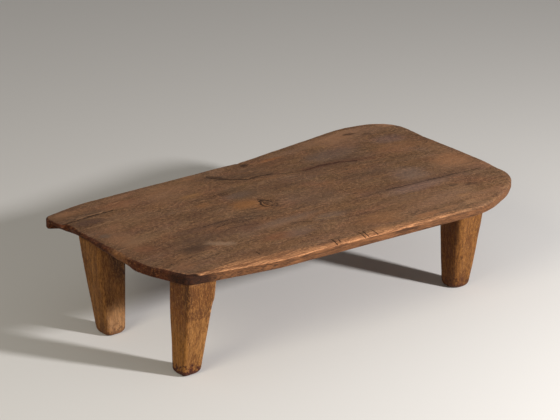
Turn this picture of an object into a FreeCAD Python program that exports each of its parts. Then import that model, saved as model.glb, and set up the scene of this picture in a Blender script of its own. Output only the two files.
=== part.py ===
import FreeCAD, Part
import Sketcher
import math
import os

# Low floor table: one flared plank on four tapered legs. Each leg stands in a
# blind mortise by a round tenon, and a wedge in the tenon's saw cut spreads it.
# X runs along the plank, Y across it and Z up. The floor is at Z = 0 and the
# origin is under the middle of the plank.

doc = FreeCAD.newDocument("low_table")

# Driving dimensions, in millimetres
SIZES = [
    ("board_length", 1000, "plank from end to end"),
    ("board_width", 590, "plank across its wider end"),
    ("board_thickness", 22, "plank"),
    ("top_arris_radius", 8, "worn upper arris of the plank"),
    ("under_arris_radius", 5, "lower arris of the plank"),
    ("tip_radius", 24, "corners of the plank's narrow end"),
    ("corner_radius", 84, "tight turns of its wide end"),
    ("wide_corner_radius", 200, "wide turns of its wide end"),
    ("side_bend_radius", 320, "slow bends along the sides"),
    ("undercut_back", 25, "how far the left end is cut under, near the back"),
    ("undercut_front", 7, "the same near the front"),
    ("undercut_rise", 17, "how high up the left end that cut reaches"),
    ("leg_height", 203, "floor to the underside of the plank"),
    ("leg_head_side", 75.5, "square section of a leg under the plank"),
    ("leg_waist_side", 62.5, "square section half way up"),
    ("leg_foot_side", 50, "square section at the floor"),
    ("leg_corner_radius", 14, "soft corners of a leg's section"),
    ("sole_radius", 11, "rounding of the foot's lower edge"),
    ("sole_corner_radius", 6, "soft corners of the flat that stands on the floor"),
    ("foot_lean", 20, "how far a foot stands from under its head"),
    ("tenon_diameter", 42, "round tenon on the leg's head"),
    ("tenon_clearance", 0.2, "gap round the tenon and above it"),
    ("mortise_floor", 7.5, "wood left above a blind mortise"),
    ("wedge_height", 11, "wedge, from the tenon's end down"),
    ("wedge_head_thickness", 4.5, "wedge at the tenon's end"),
    ("wedge_edge_thickness", 1.5, "wedge at its thin edge"),
    ("wedge_setback", 2.5, "wedge's ends inside the tenon's round"),
    ("cut_overrun", 2, "how far a through cut runs past the wood"),
]

# Corners of the plank's outline before they are rounded, anticlockwise from the
# front of the left end: shares of the plank's length and width, and the radius
OUTLINE_SHARES = [
    (-0.500, -0.193, "side_bend_radius"),
    (-0.462, -0.384, "tip_radius"),
    (-0.262, -0.451, "side_bend_radius"),
    (0.290, -0.504, "wide_corner_radius"),
    (0.395, -0.418, "wide_corner_radius"),
    (0.460, -0.332, "corner_radius"),
    (0.480, -0.105, "side_bend_radius"),
    (0.4912, 0.220, "side_bend_radius"),
    (0.5105, 0.458, "corner_radius"),
    (0.373, 0.504, "wide_corner_radius"),
    (0.038, 0.430, "side_bend_radius"),
    (-0.399, 0.434, "side_bend_radius"),
    (-0.500, 0.394, "tip_radius"),
]

# Where the undercut of the left end starts and stops, as shares of the width
UNDERCUT_SHARES = (-0.200, 0.365)

# Each leg's head as shares of the plank's length and width, its foot's lean along
# and across the plank as shares of foot_lean, and its thickness against the others
FRONT_LEFT_SHARES = (-0.4247, -0.3270, -0.74, 0.355, 0.97)
BACK_LEFT_SHARES = (-0.4365, 0.1840, -0.25, -1.60, 1.01)
FRONT_RIGHT_SHARES = (0.3010, -0.3410, -0.10, 0.70, 1.02)
BACK_RIGHT_SHARES = (0.3150, 0.3320, 0.05, -1.10, 1.00)
LEG_SHARES = {
    "front_left": FRONT_LEFT_SHARES,
    "back_left": BACK_LEFT_SHARES,
    "front_right": FRONT_RIGHT_SHARES,
    "back_right": BACK_RIGHT_SHARES,
}
WAIST_SHARE = 0.5
ARC_MIDDLE_SHARE = 0.293

sheet = doc.addObject("Spreadsheet::Sheet", "Sizes")
for row, (alias, value, note) in enumerate(SIZES, start=1):
    sheet.set(f"A{row}", alias)
    sheet.set(f"B{row}", str(value))
    sheet.set(f"C{row}", note)
    sheet.setAlias(f"B{row}", alias)
doc.recompute()


class Measure:
    """A length: its present value and the expression that gives it."""

    def __init__(self, value, text):
        self.value = value
        self.text = text

    def __add__(self, other):
        return Measure(self.value + other.value, f"({self.text} + {other.text})")

    def __sub__(self, other):
        return Measure(self.value - other.value, f"({self.text} - {other.text})")

    def __mul__(self, share):
        return Measure(self.value * share, f"({self.text} * ({share}))")

    def __neg__(self):
        return Measure(-self.value, f"(-1 * {self.text})")


def size(alias):
    """One driving dimension."""
    return Measure(float(getattr(sheet, alias)), f"Sizes.{alias}")


def half(measure):
    """Half of a length."""
    return measure * 0.5


board_length = size("board_length")
board_width = size("board_width")
board_thickness = size("board_thickness")
leg_height = size("leg_height")
mortise_depth = board_thickness - size("mortise_floor")
tenon_length = mortise_depth - size("tenon_clearance")
tenon_radius = half(size("tenon_diameter"))
mortise_radius = tenon_radius + size("tenon_clearance")


def new_body(label):
    """Empty body for one piece, under its own label."""
    body = doc.addObject("PartDesign::Body", label)
    body.Label = label
    return body


def new_feature(body, kind, name):
    """Feature of a body, named after it."""
    return body.newObject(kind, f"{body.Name}_{name}")


def new_sketch(body, name, plane, height=None):
    """Sketch on one of the body's own origin planes, raised by a measure."""
    sketch = new_feature(body, "Sketcher::SketchObject", name)
    for item in body.Origin.OriginFeatures:
        if item.Role == plane:
            sketch.AttachmentSupport = [(item, "")]
    sketch.MapMode = "FlatFace"
    if height:
        sketch.setExpression(".AttachmentOffset.Base.z", height.text)
    return sketch


def hold(sketch, kind, geometry, measure):
    """Dimension of a sketch that starts at a measure's value and follows it."""
    index = sketch.addConstraint(Sketcher.Constraint(kind, *geometry, measure.value))
    sketch.setExpression(f"Constraints[{index}]", measure.text)


def hold_point(sketch, geometry, x, y):
    """Both coordinates of one point of a sketch."""
    hold(sketch, "DistanceX", geometry, x)
    hold(sketch, "DistanceY", geometry, y)


def draw_polygon(sketch, corners):
    """Closed outline of straight runs between corners."""
    points = [FreeCAD.Vector(x.value, y.value, 0) for x, y in corners]
    sides = []
    for index, point in enumerate(points):
        ahead = points[(index + 1) % len(points)]
        sides.append(sketch.addGeometry(Part.LineSegment(point, ahead)))
    for index, side in enumerate(sides):
        sketch.addConstraint(Sketcher.Constraint("Coincident", sides[index - 1], 2, side, 1))
        hold_point(sketch, (side, 1), *corners[index])


def draw_rounded(sketch, corners):
    """Closed outline of straight runs and tangent arcs, held at its sharp corners.

    Each corner is its x, its y and its radius. An arc leaves the run before the
    corner at radius / tan(half the opening), and its centre is radius / sin(half
    the opening) from the corner along the bisector.
    """
    points = [FreeCAD.Vector(x.value, y.value, 0) for x, y, radius in corners]
    arcs = []
    ends = []
    for index, corner in enumerate(points):
        radius = corners[index][2].value
        back = (points[index - 1] - corner).normalize()
        ahead = (points[(index + 1) % len(points)] - corner).normalize()
        opening = back.getAngle(ahead)
        reach = radius / math.tan(opening / 2)
        centre = corner + (back + ahead).normalize() * (radius / math.sin(opening / 2))
        first = corner + back * reach
        last = corner + ahead * reach
        turns_left = ahead.cross(back).z > 0
        start, stop = (first, last) if turns_left else (last, first)
        angles = [math.atan2(end.y - centre.y, end.x - centre.x) for end in (start, stop)]
        if angles[1] < angles[0]:
            angles[1] += 2 * math.pi
        circle = Part.Circle(centre, FreeCAD.Vector(0, 0, 1), radius)
        arc = sketch.addGeometry(Part.ArcOfCircle(circle, *angles))
        arcs.append((arc, (1, 2) if turns_left else (2, 1)))
        ends.append((first, last))
    runs = []
    for index in range(len(points)):
        next_first = ends[(index + 1) % len(points)][0]
        runs.append(sketch.addGeometry(Part.LineSegment(ends[index][1], next_first)))
    for index, (x, y, radius) in enumerate(corners):
        arc, (entry, leave) = arcs[index]
        before = runs[index - 1]
        after = runs[index]
        corner = sketch.addGeometry(Part.Point(points[index]), True)
        sketch.addConstraint(Sketcher.Constraint("Tangent", before, 2, arc, entry))
        sketch.addConstraint(Sketcher.Constraint("Tangent", arc, leave, after, 1))
        sketch.addConstraint(Sketcher.Constraint("PointOnObject", corner, 1, before))
        sketch.addConstraint(Sketcher.Constraint("PointOnObject", corner, 1, after))
        hold_point(sketch, (corner, 1), x, y)
        hold(sketch, "Radius", (arc,), radius)


def draw_circle(sketch, x, y, radius):
    """Circle about a point of the sketch."""
    centre = FreeCAD.Vector(x.value, y.value, 0)
    circle = sketch.addGeometry(Part.Circle(centre, FreeCAD.Vector(0, 0, 1), radius.value))
    hold_point(sketch, (circle, 3), x, y)
    hold(sketch, "Radius", (circle,), radius)


def pad(body, name, sketch, length, side="One side"):
    """Wood raised from a sketch."""
    feature = new_feature(body, "PartDesign::Pad", name)
    feature.Profile = sketch
    feature.SideType = side
    feature.setExpression("Length", length.text)
    doc.recompute()
    return feature


def pocket(body, name, sketch, length, side="One side", upwards=False):
    """Wood cut away behind a sketch; the cut has to take some off."""
    before = body.Shape.Volume
    feature = new_feature(body, "PartDesign::Pocket", name)
    feature.Profile = sketch
    feature.SideType = side
    feature.Reversed = upwards
    feature.setExpression("Length", length.text)
    doc.recompute()
    if not feature.Shape.Volume < before:
        raise ValueError(f"{feature.Name} cuts nothing")
    return feature


def loft(body, name, sections):
    """Wood that runs smoothly from one section to the next."""
    feature = new_feature(body, "PartDesign::AdditiveLoft", name)
    feature.Profile = sections[0]
    feature.Sections = sections[1:]
    doc.recompute()
    return feature


def round_edges(body, name, level, radius):
    """Rounding of every edge that lies flat at one level of the body."""
    names = []
    for number, edge in enumerate(body.Tip.Shape.Edges, start=1):
        box = edge.BoundBox
        reach = max(abs(box.ZMin - level.value), abs(box.ZMax - level.value))
        if reach < Part.Precision.approximation():
            names.append(f"Edge{number}")
    feature = new_feature(body, "PartDesign::Fillet", name)
    feature.Base = (feature.BaseFeature, names)
    feature.setExpression("Radius", radius.text)
    doc.recompute()
    return feature


def undercut_section(body, name, y, depth):
    """Side view of the wood cut from under the left end, at one place along Y."""
    sketch = new_sketch(body, name, "XZ_Plane", -y)
    end = -half(board_length)
    outside = end - size("cut_overrun")
    lower = leg_height - size("cut_overrun")
    upper = leg_height + size("undercut_rise")
    draw_polygon(sketch, [
        (outside, lower),
        (end + depth, lower),
        (end + depth, leg_height),
        (end, upper),
        (outside, upper),
    ])
    return sketch


# Plank: flared outline with rounded corners, worn arrises, a left end that is cut
# under between its corners, and four blind mortises
board = new_body("top_board")
outline = new_sketch(board, "outline", "XY_Plane", leg_height)
draw_rounded(outline, [
    (board_length * x_share, board_width * y_share, size(radius))
    for x_share, y_share, radius in OUTLINE_SHARES
])
pad(board, "plank", outline, board_thickness)
round_edges(board, "top_arris", leg_height + board_thickness, size("top_arris_radius"))
round_edges(board, "under_arris", leg_height, size("under_arris_radius"))
undercut = new_feature(board, "PartDesign::SubtractiveLoft", "undercut")
undercut.Profile = undercut_section(
    board, "undercut_start", board_width * UNDERCUT_SHARES[0], size("undercut_front")
)
undercut.Sections = [
    undercut_section(board, "undercut_stop", board_width * UNDERCUT_SHARES[1], size("undercut_back"))
]
undercut.Ruled = True
mortises = new_sketch(board, "mortises", "XY_Plane", leg_height)
for x_share, y_share, *leg_shares in LEG_SHARES.values():
    draw_circle(mortises, board_length * x_share, board_width * y_share, mortise_radius)
pocket(board, "mortise_cut", mortises, mortise_depth, upwards=True)


def stand_at(body, x, y):
    """Place of a piece whose own frame stands under a leg's head."""
    body.setExpression(".Placement.Base.x", x.text)
    body.setExpression(".Placement.Base.y", y.text)


def leg_section(body, name, level, side, middle, radius):
    """Soft-cornered square section of a leg about a middle point."""
    sketch = new_sketch(body, name, "XY_Plane", level)
    x, y = middle
    reach = half(side)
    draw_rounded(sketch, [
        (x - reach, y - reach, radius),
        (x + reach, y - reach, radius),
        (x + reach, y + reach, radius),
        (x - reach, y + reach, radius),
    ])
    return sketch


def draw_wedge(body, name):
    """Side view of a wedge, thick at the tenon's end and thin below."""
    sketch = new_sketch(body, name, "XZ_Plane")
    top = leg_height + tenon_length
    bottom = top - size("wedge_height")
    head = half(size("wedge_head_thickness"))
    edge = half(size("wedge_edge_thickness"))
    draw_polygon(sketch, [(-edge, bottom), (edge, bottom), (head, top), (-head, top)])
    return sketch


def make_leg(label, x_lean_share, y_lean_share, thickness_share):
    """Tapered leg with a rounded sole, a round tenon and the wedge's saw cut."""
    body = new_body(label)
    floor = leg_height * 0
    centre = (floor, floor)
    lean = (size("foot_lean") * x_lean_share, size("foot_lean") * y_lean_share)
    half_lean = [part * (1 - WAIST_SHARE) for part in lean]
    foot_side = size("leg_foot_side") * thickness_share
    waist_side = size("leg_waist_side") * thickness_share
    head_side = size("leg_head_side") * thickness_share
    sole_rise = size("sole_radius")
    sole_turn = sole_rise * ARC_MIDDLE_SHARE
    soft = size("leg_corner_radius")
    sole_soft = size("sole_corner_radius")
    sole_side = foot_side - sole_rise * 2
    turn_side = foot_side - sole_turn * 2
    turn_soft = sole_soft + (soft - sole_soft) * (1 - ARC_MIDDLE_SHARE)
    sole = leg_section(body, "sole", floor, sole_side, lean, sole_soft)
    turn = leg_section(body, "sole_turn", sole_turn, turn_side, lean, turn_soft)
    foot = leg_section(body, "foot", sole_rise, foot_side, lean, soft)
    waist_level = leg_height * WAIST_SHARE
    waist = leg_section(body, "waist", waist_level, waist_side, half_lean, soft)
    head = leg_section(body, "head", leg_height, head_side, centre, soft)
    loft(body, "rounded_sole", [sole, turn, foot])
    loft(body, "taper", [foot, waist, head])
    ring = new_sketch(body, "tenon_ring", "XY_Plane", leg_height)
    draw_circle(ring, floor, floor, tenon_radius)
    pad(body, "tenon", ring, tenon_length)
    kerf = draw_wedge(body, "kerf")
    pocket(body, "kerf_cut", kerf, size("tenon_diameter") + size("cut_overrun"), "Symmetric")
    return body


def make_wedge(label):
    """Wedge that fills the saw cut of a tenon."""
    body = new_body(label)
    profile = draw_wedge(body, "profile")
    setback = size("wedge_setback") * 2
    pad(body, "wood", profile, size("tenon_diameter") - setback, "Symmetric")
    return body


pieces = [board]
for corner, (x_share, y_share, *leg_shares) in LEG_SHARES.items():
    leg = make_leg(f"{corner}_leg", *leg_shares)
    wedge = make_wedge(f"{corner}_wedge")
    for piece in (leg, wedge):
        stand_at(piece, board_length * x_share, board_width * y_share)
        pieces.append(piece)
doc.recompute()

for item in doc.Objects:
    if "Invalid" in item.State or "Error" in item.State:
        raise ValueError(f"{item.Name} failed: {item.State}")
for piece in pieces:
    if piece.Shape.isNull() or not piece.Shape.isValid():
        raise ValueError(f"{piece.Label} has no valid shape")

os.makedirs("parts", exist_ok=True)
for piece in pieces:
    piece.Shape.exportStep(f"parts/{piece.Label}.step")
    box = piece.Shape.BoundBox
    print(
        f"{piece.Label}: {len(piece.Shape.Solids)} solid, {piece.Shape.Volume:.0f} mm3, "
        f"X {box.XMin:.2f} {box.XMax:.2f}, Y {box.YMin:.2f} {box.YMax:.2f}, "
        f"Z {box.ZMin:.2f} {box.ZMax:.2f}"
    )
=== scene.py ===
import math

import bpy
import numpy as np
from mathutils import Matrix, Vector


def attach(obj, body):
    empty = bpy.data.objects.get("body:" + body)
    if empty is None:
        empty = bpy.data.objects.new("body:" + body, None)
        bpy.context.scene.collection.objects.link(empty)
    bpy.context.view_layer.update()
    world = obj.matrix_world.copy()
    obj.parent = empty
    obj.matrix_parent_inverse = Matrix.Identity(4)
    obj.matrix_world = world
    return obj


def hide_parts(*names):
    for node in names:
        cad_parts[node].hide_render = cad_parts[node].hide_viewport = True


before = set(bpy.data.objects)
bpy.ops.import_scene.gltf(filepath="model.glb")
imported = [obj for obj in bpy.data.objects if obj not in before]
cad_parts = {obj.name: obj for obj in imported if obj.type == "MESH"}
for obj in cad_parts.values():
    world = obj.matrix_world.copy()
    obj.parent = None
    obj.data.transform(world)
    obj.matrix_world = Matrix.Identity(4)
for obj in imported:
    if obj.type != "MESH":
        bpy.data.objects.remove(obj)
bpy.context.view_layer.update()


# Plank: one wide board of dark old hardwood, hewn to a flared outline and worn. Its front
# arris is rubbed pale, and its narrow end is split, chipped and cut under until it is
# thin. It lies on the shoulders of the legs and holds their tenons.
PLANK_TOP = 0.225
PLANK_UNDERSIDE = 0.203
PLANK_CORNERS = np.array([
    # x, y and rounding radius of each corner, anticlockwise from the narrow end
    (-0.5000, -0.1139, 0.320),
    (-0.4620, -0.2266, 0.024),
    (-0.2620, -0.2661, 0.320),
    (0.2900, -0.2974, 0.200),
    (0.3950, -0.2466, 0.200),
    (0.4600, -0.1959, 0.084),
    (0.4800, -0.0620, 0.320),
    (0.4912, 0.1298, 0.320),
    (0.5105, 0.2702, 0.084),
    (0.3730, 0.2974, 0.200),
    (0.0380, 0.2537, 0.320),
    (-0.3990, 0.2561, 0.320),
    (-0.5000, 0.2325, 0.024),
])
GRID_COLUMNS = 325
GRID_ROWS = 177
TOP_MARGIN = 0.018
UNDER_MARGIN = 0.0305
TOP_SAG = 0.0009
NARROW_TIP = (-0.497, 0.226)
BACK_NOTCH = (0.031, 0.2537)
NOTCH_DEPTH, NOTCH_WIDTH = 0.0036, 0.0055
UNDER_ARRIS = 0.0022

# Cuts of a blade across the front margin: start, end, width and depth in millimetres
CUTS = [
    ((-110, -245), (-117, -279), 1.6, 1.8), ((-100, -256), (-103.5, -267), 1.4, 0.9),
    ((-42, -252), (-45, -281), 1.5, 1.7), ((-32, -253), (-36, -282), 1.5, 1.5),
    ((-11, -255), (-12, -283), 1.4, 1.2), ((-273, -204), (-276.5, -219), 1.8, 1.2),
]
# Splits and furrows along the grain: their bends, width and depth in millimetres
SPLITS = [
    ([(-505, 173.8), (-472, 171.2), (-451, 173), (-404, 177), (-365, 176)], 2.4, 1.7),
    ([(-76, 206), (-48, 174), (-19, 154), (14, 151)], 3.4, 1.8),
    ([(14, 151), (48, 142), (121, 115), (217, 111), (251, 95)], 2.4, 0.9),
    ([(434, -116), (364, -110), (266, -102), (170, -95)], 2, 0.5),
]
# Knots: middle, radius and how deep the softer wood round each has worn, in millimetres
KNOTS = [((-78, 5), 20, 1.0), ((-120, 108), 9, 0.4), ((-149, 111), 9, 0.4)]


def metres(millimetres):
    """Lengths or places in metres."""
    return np.array(millimetres) / 1000


def ripple(points, lengths, count, seed):
    """Slow unevenness, about -1 to 1: a sum of sines of point . wave + phase.

    The waves are random, and no shorter along each axis than the lengths given.
    """
    chance = np.random.default_rng(seed)
    waves = chance.uniform(-1, 1, (len(lengths), count)) * math.tau / np.array(lengths)[:, None]
    phases = chance.uniform(0, math.tau, count)
    return np.sin(points @ waves + phases).sum(axis=-1) * math.sqrt(2 / count) / 2.2


def smooth_step(low, high, value):
    """0 before low, 1 past high, and 3t^2 - 2t^3 between them."""
    share = np.clip((value - low) / (high - low), 0, 1)
    return share * share * (3 - 2 * share)


def rounded_outline(corners):
    """Closed line of straight runs and tangent arcs round a polygon.

    An arc's centre lies radius / sin(half the opening) from its corner along the
    bisector, and the arc turns through a straight angle less the opening.
    """
    place, radius = corners[:, :2], corners[:, 2]
    back = np.roll(place, 1, axis=0) - place
    ahead = np.roll(place, -1, axis=0) - place
    back /= np.linalg.norm(back, axis=1)[:, None]
    ahead /= np.linalg.norm(ahead, axis=1)[:, None]
    opening = np.arccos((back * ahead).sum(axis=1))
    bisector = (back + ahead) / np.linalg.norm(back + ahead, axis=1)[:, None]
    centre = place + bisector * (radius / np.sin(opening / 2))[:, None]
    middle = np.arctan2(-bisector[:, 1], -bisector[:, 0])
    side = -np.sign(ahead[:, 0] * back[:, 1] - ahead[:, 1] * back[:, 0])
    swing = np.linspace(0.5, -0.5, 33) * ((math.pi - opening) * side)[:, None]
    angle = middle[:, None] + swing
    arcs = np.stack([np.cos(angle), np.sin(angle)], axis=2) * radius[:, None, None]
    return (centre[:, None, :] + arcs).reshape(-1, 2)


def walk(line, shares):
    """Points of an open line at shares of its length."""
    run = np.concatenate([[0], np.cumsum(np.linalg.norm(np.diff(line, axis=0), axis=1))])
    return np.stack([np.interp(shares * run[-1], run, axis) for axis in line.T], axis=1)


def crowded(count, middle, width, extra):
    """Shares from 0 to 1 that stand 1 + extra times as close about a middle."""
    pace = np.linspace(0, 1, 500)
    density = 1 + extra * np.exp(-((pace - middle) / width) ** 2)
    run = np.concatenate([[0], np.cumsum(density[1:] + density[:-1])])
    return np.interp(np.linspace(0, 1, count), run / run[-1], pace)


def nearest(line, x, y):
    """Number of the line's point nearest to a place."""
    return int(np.argmin(np.hypot(line[:, 0] - x, line[:, 1] - y)))


def outline_ring(corners):
    """The outline as one ring that starts at the front of the narrow end.

    Each of its four sides has as many points as the plank's grid has there. They
    crowd where the cuts are, and at the split of the narrow end.
    """
    line = rounded_outline(corners)
    line = np.roll(line, -nearest(line, -0.4600, -0.2250), axis=0)
    line = np.vstack([line, line[:1]])
    marks = [0, nearest(line, 0.447, -0.190), nearest(line, 0.478, 0.251),
             nearest(line, -0.494, 0.228), len(line) - 1]
    along = crowded(GRID_COLUMNS, 0.44, 0.11, 1.5)
    across = crowded(GRID_ROWS, 0.88, 0.05, 1.5)
    shares = [along, across, 1 - along[::-1], 1 - across[::-1]]
    return np.vstack([walk(line[first:last + 1], share)[:-1]
                      for first, last, share in zip(marks, marks[1:], shares)])


def spread(values, reach):
    """Running mean of ring values, reach points to each side."""
    window = np.hanning(2 * reach + 3)[1:-1]
    padded = np.concatenate([values[-reach:], values, values[:reach]])
    return np.stack([np.convolve(axis, window / window.sum(), mode="valid") for axis in padded.T], axis=1)


def outward(ring):
    """Unit normals of an anticlockwise ring, out of it."""
    tangent = np.roll(ring, -1, axis=0) - np.roll(ring, 1, axis=0)
    tangent /= np.linalg.norm(tangent, axis=1)[:, None]
    return np.stack([tangent[:, 1], -tangent[:, 0]], axis=1)


def groove(points, start, stop, width):
    """1 on a straight scratch, and exp(-(gap / width)^2) at a gap to its side."""
    run = stop - start
    share = np.clip((points - start) @ run / (run @ run), 0, 1)
    gap = np.linalg.norm(points - start - share[..., None] * run, axis=-1)
    return np.exp(-(gap / width) ** 2)


def four_sides(ring, columns, rows):
    """Front, right, back and left of a ring, each from its left or front end."""
    closed = np.vstack([ring, ring[:1]])
    a, b, c = columns - 1, columns + rows - 2, 2 * columns + rows - 3
    return closed[:a + 1], closed[a:b + 1], closed[b:c + 1][::-1], closed[c:][::-1]


def side_gaps(points, ring):
    """Distances in from the front, right, back and left side of the ring."""
    front, right, back, left = four_sides(ring, GRID_COLUMNS, GRID_ROWS)
    x, y = points[..., 0], points[..., 1]
    return (
        y - np.interp(x, front[:, 0], front[:, 1]),
        np.interp(y, right[:, 1], right[:, 0]) - x,
        np.interp(x, back[:, 0], back[:, 1]) - y,
        x - np.interp(y, left[:, 1], left[:, 0]),
    )


def plank_rubbing_and_highlight(points, ring):
    """Rubbed share from 0 to 1: strength exp(-(gap / width)^2) along each side. The front, the right and the
    narrow end are worn; the band along the back edge is a painted highlight where the back arris catches the
    light.
    """
    front, right, back, left = side_gaps(points, ring)
    x, y = points[..., 0], points[..., 1]
    places = [-0.46, -0.42, -0.36, -0.30, -0.25, -0.19, -0.13, -0.05, 0.05, 0.20, 0.32, 0.45]
    widths = [0.009, 0.012, 0.034, 0.046, 0.038, 0.030, 0.020, 0.014, 0.018, 0.022, 0.028, 0.022]
    strengths = [0.80, 0.75, 0.88, 0.96, 0.98, 1.05, 1.05, 1.05, 1.00, 0.50, 0.08, 0.04]
    width, strength = np.interp(x, places, widths), np.interp(x, places, strengths)
    right_strength = np.interp(y, [-0.20, -0.10, 0.10, 0.25], [0.25, 0.30, 0.30, 0.30])
    left_strength = np.interp(y, [-0.20, -0.17, -0.13], [0.62, 0.50, 0.26])
    # The back edge's band is a painted highlight of the arris catching the light, not wear
    back_strength = np.interp(x, [0.30, 0.45], [0.45, 0.85])
    return np.max([
        strength * np.exp(-(np.maximum(front, 0) / width) ** 2),
        right_strength * np.exp(-(np.maximum(right, 0) / 0.011) ** 2),
        back_strength * np.exp(-(np.maximum(back, 0) / 0.010) ** 2),
        left_strength * np.exp(-((left - 0.011) / 0.005) ** 2),
    ], axis=0)


def plank_wear_depth(points, ring):
    """How far the top has worn down, in metres: hollows, roll of the front, splits, cuts, knots."""
    hollows = 0.0011 + 0.0006 * ripple(points, (0.22, 0.060), 16, 11)
    hollows += 0.00025 * ripple(points, (0.060, 0.014), 20, 12)
    depth = np.maximum(hollows, 0.0001)
    front = side_gaps(points, ring)[0]
    depth += 0.0015 * np.clip(1 - front / 0.055, 0, 1) ** 2 * smooth_step(-0.44, -0.34, points[..., 0])
    for bends, width, deep in SPLITS:
        runs = zip(metres(bends), metres(bends[1:]))
        depth += metres(deep) * np.max([groove(points, a, b, metres(width)) for a, b in runs], axis=0)
    for start, stop, width, deep in CUTS:
        depth += metres(deep) * groove(points, metres(start), metres(stop), metres(width))
    for centre, radius, deep in KNOTS:
        away = np.linalg.norm(points - metres(centre), axis=-1) / metres(radius)
        depth += metres(deep) * np.exp(-((away - 0.85) / 0.30) ** 2)
    return depth


def edge_profile(ring, normal):
    """Distance in from the outline, level and side share of each row round the edge.

    Rows go from the top's margin over the arris, a quarter of an ellipse, down the
    face and round the lower corner to the underside's margin. The lower corner is
    1 - cos^p across and sin^(1/p) down, so that a small p makes it a straight cut.
    """
    x, y = ring.T
    narrow_end = smooth_step(-0.470, -0.486, x)
    near_end = smooth_step(-0.430, -0.446, x)
    tip = np.exp(-(np.hypot(x - NARROW_TIP[0], y - NARROW_TIP[1]) / 0.034) ** 2)
    front = np.clip(-normal[:, 1], 0, 1) ** 2
    chips = ripple(ring, (0.030, 0.030), 24, 3)
    bites = np.clip(ripple(ring, (0.010, 0.010), 28, 4) - 0.35, 0, 1)
    wander = ripple(ring, (0.16, 0.16), 14, 5)

    uneven = 0.0002 * (1 + wander) + 0.00015 * (1 + chips) * (1 - tip)
    notch = np.hypot(x - BACK_NOTCH[0], y - BACK_NOTCH[1]) / NOTCH_WIDTH
    uneven += NOTCH_DEPTH * np.exp(-notch ** 2)
    worn_back = np.interp(
        y,
        [0.046, 0.070, 0.094, 0.115, 0.138, 0.157, 0.1695, 0.1735, 0.182, 0.199],
        [0.000, 0.004, 0.007, 0.009, 0.0125, 0.0135, 0.0115, 0.004, 0.001, 0.000],
    ) * narrow_end + (0.0010 + 0.0025 * bites) * narrow_end * (1 - tip)
    arris_in = np.interp(x, [-0.46, -0.40, -0.30, -0.15, 0.10, 0.45],
                         [0.0024, 0.0026, 0.0034, 0.0050, 0.0075, 0.0075]) * front
    arris_in += 0.0040 * (1 - front)
    worn_end = np.interp(
        y,
        [-0.2266, -0.178, -0.160, -0.138, -0.100, -0.051, -0.012, 0.013, 0.054, 0.092, 0.125, 0.221],
        [0.0105, 0.0095, 0.0080, 0.0040, 0.0065, 0.0090, 0.0125, 0.0095, 0.0110, 0.0045, 0.0032, 0.0036],
    )
    arris_in += (worn_end - arris_in) * near_end + (0.0005 + 0.0007 * near_end) * chips * (1 - tip)
    arris_down = 0.9 * np.minimum(arris_in, np.interp(x, [-0.40, 0.0], [0.0034, 0.0055])) + 0.0008 * bites
    arris_down += 0.30 * np.maximum(arris_in - 0.0034, 0) * smooth_step(-0.100, -0.150, y)

    cut_total = np.interp(
        y,
        [-0.175, -0.118, -0.098, -0.050, 0.010, 0.050, 0.092, 0.142, 0.172, 0.190, 0.204, 0.2125],
        [0.0035, 0.0050, 0.0070, 0.0115, 0.0160, 0.0205, 0.0270, 0.0275, 0.0235, 0.0225, 0.0200, 0.0035],
    )
    cut_zone = narrow_end * smooth_step(-0.105, -0.065, y) * smooth_step(0.2140, 0.2060, y)
    under_in = UNDER_ARRIS * (1 - cut_zone) + cut_total * cut_zone + 0.0003 * (1 + chips)
    under_up = UNDER_ARRIS * (1 - cut_zone) + 0.0160 * cut_zone
    power = 1 - 0.45 * cut_zone

    turn = np.radians([10, 24, 38, 52, 66, 79, 90])[:, None]
    margin = np.array([1.0, 0.72, 0.42, 0.18])[:, None]
    drop = np.array([0.33, 0.67, 1.0])[:, None]
    under = np.radians([18, 36, 54, 72, 90])[:, None]
    face_top = PLANK_TOP - TOP_SAG - arris_down
    face_foot = PLANK_UNDERSIDE + under_up
    distance = np.concatenate([
        worn_back + arris_in + (TOP_MARGIN - arris_in) * margin,
        worn_back + arris_in * (1 - np.sin(turn)),
        np.tile(worn_back, (len(drop), 1)),
        worn_back + np.maximum(under_in - worn_back, 0.002) * (1 - np.cos(under)) ** power,
        np.full((2, len(ring)), UNDER_MARGIN) + np.array([[0.0], [0.0055]]),
    ]) + uneven
    level = np.concatenate([
        np.tile(PLANK_TOP - TOP_SAG * (1 - margin) ** 1.5, len(ring)),
        PLANK_TOP - TOP_SAG - arris_down * (1 - np.cos(turn)),
        face_top + (face_foot - face_top) * drop,
        face_foot - under_up * np.sin(under) ** (1 / power),
        np.full((2, len(ring)), PLANK_UNDERSIDE),
    ])
    # The arris is as clean as the top, but at the narrow end as dirty as the sides
    clean = np.array([0, 0, 0, 0, 0, 0, 0.05, 0.2, 0.45, 0.7, 0.9, *np.ones(10)])[:, None]
    dirty = np.array([0, 0, 0, 0, 0.7, *np.ones(16)])[:, None]
    return distance, level, clean + (dirty - clean) * near_end


def coons_patch(edge, columns, rows):
    """Grid inside a closed ring of points.

    It is the sum of the two straight blends of facing sides, less the blend of the
    four corners.
    """
    front, right, back, left = four_sides(edge, columns, rows)
    u = np.linspace(0, 1, columns)[:, None, None]
    v = np.linspace(0, 1, rows)[None, :, None]
    sides = (1 - v) * front[:, None] + v * back[:, None] + (1 - u) * left[None] + u * right[None]
    corners = (1 - v) * ((1 - u) * front[0] + u * front[-1]) + v * ((1 - u) * back[0] + u * back[-1])
    return sides - corners


def grid_rim(numbers):
    """Numbers round the rim of a grid, in the order of the ring."""
    return np.concatenate([numbers[:-1, 0], numbers[-1, :-1], numbers[:0:-1, -1], numbers[0, :0:-1]])


def grid_quads(numbers):
    """Quads of a grid of point numbers."""
    corners = [numbers[:-1, :-1], numbers[1:, :-1], numbers[1:, 1:], numbers[:-1, 1:]]
    return np.stack(corners, axis=2).reshape(-1, 4)


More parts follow.
